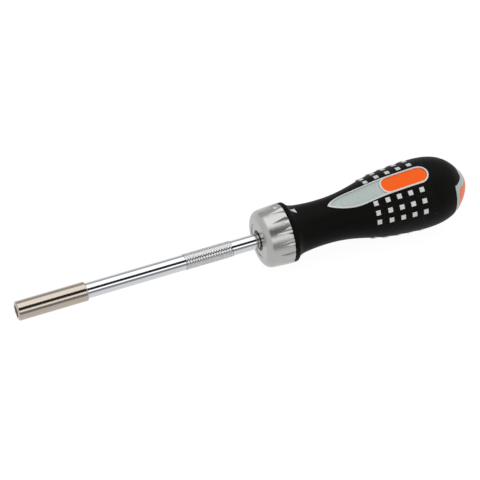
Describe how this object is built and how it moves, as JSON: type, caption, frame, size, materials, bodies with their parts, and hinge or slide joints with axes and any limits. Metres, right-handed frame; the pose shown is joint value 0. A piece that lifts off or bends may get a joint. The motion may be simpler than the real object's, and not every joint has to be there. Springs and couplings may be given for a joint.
{
  "type": "ratcheting bit screwdriver",
  "caption": "Ratcheting screwdriver with a hex bit socket, knurled steel shank, direction collar, two-material handle and a slide-out bit magazine in the butt",
  "frame": {"origin": "centre of the bit socket's mouth, on the tool's axis", "axes": "+X along the tool from the bit to the butt, +Z towards the orange inlay, which faces up as the tool lies"},
  "size_m": [0.2469, 0.0373, 0.0376],
  "materials": {
    "holder_nickel": "satin",
    "shank_chrome": "polished",
    "silver_paint": "satin",
    "grip_black": "matte",
    "core_grey": "satin",
    "panel_grey": "matte",
    "panel_orange": "satin",
    "cap_orange": "satin",
    "cap_grey": "satin",
    "inner_steel": "machined",
    "inner_zinc": "cast",
    "bush_bronze": "machined",
    "spring_steel": "plain",
    "clip_black": "black oxide",
    "cam_plastic": "matte",
    "seal_rubber": "matte",
    "drum_black": "matte",
    "bit_steel": "satin",
    "magnet_nickel": "polished"
  },
  "bodies": {
    "handle": {"handle_core": "core_grey", "grip": "grip_black", "orange_inlay": "panel_orange", "grey_inlay": "panel_grey", "stop_ring": "spring_steel", "ratchet_housing": "inner_zinc", "front_plate": "clip_black", "plate_screws": "inner_steel", "front_bush": "bush_bronze", "rear_bush": "bush_bronze", "collar_circlip": "clip_black", "pawl_pins": "inner_steel", "detent_spring": "spring_steel", "pawl_spring_upper": "spring_steel", "pawl_spring_lower": "spring_steel", "handle_bolt": "inner_steel", "bolt_washer": "inner_steel"},
    "selector": {"selector_collar": "silver_paint", "selector_mark": "core_grey", "cam_ring": "cam_plastic"},
    "spindle": {"shank": "shank_chrome", "bit_holder": "holder_nickel", "socket_magnet": "magnet_nickel", "bit_clip": "spring_steel", "ratchet_gear": "inner_steel", "gear_clip": "spring_steel", "thrust_washers": "bush_bronze"},
    "upper_pawl": {"pawl_upper": "inner_steel"},
    "lower_pawl": {"pawl_lower": "inner_steel"},
    "magazine": {"magazine_drum": "drum_black", "magazine_o_ring": "seal_rubber", "butt_cap": "cap_grey", "cap_insert": "cap_orange", "bit_ph1": "bit_steel", "bit_ph2": "bit_steel", "bit_pz2": "bit_steel", "bit_t15": "bit_steel", "bit_t20": "bit_steel", "bit_slot": "bit_steel"}
  },
  "joints": [
    {"name": "spindle_spin", "type": "hinge", "parent": "handle", "child": "spindle", "pos_m": [0.138, 0, 0], "axis": [1, 0, 0], "continuous": true},
    {"name": "selector_turn", "type": "hinge", "parent": "handle", "child": "selector", "pos_m": [0.138, 0, 0], "axis": [1, 0, 0], "range_deg": [-20, 20], "deforming": ["detent_spring"]},
    {"name": "upper_pawl_pivot", "type": "hinge", "parent": "handle", "child": "upper_pawl", "pos_m": [0.138, 0.0054, 0.0074], "axis": [1, 0, 0], "range_deg": [-6, 6], "deforming": ["pawl_spring_upper"]},
    {"name": "lower_pawl_pivot", "type": "hinge", "parent": "handle", "child": "lower_pawl", "pos_m": [0.138, 0.0054, -0.0074], "axis": [1, 0, 0], "range_deg": [-6, 6], "deforming": ["pawl_spring_lower"]},
    {"name": "magazine_slide", "type": "slide", "parent": "handle", "child": "magazine", "axis": [1, 0, 0], "range_m": [0, 0.0355]}
  ],
  "couplings": [
    {"joint": "upper_pawl_pivot", "follows": "selector_turn", "ratio": 0.3},
    {"joint": "lower_pawl_pivot", "follows": "selector_turn", "ratio": 0.3}
  ]
}
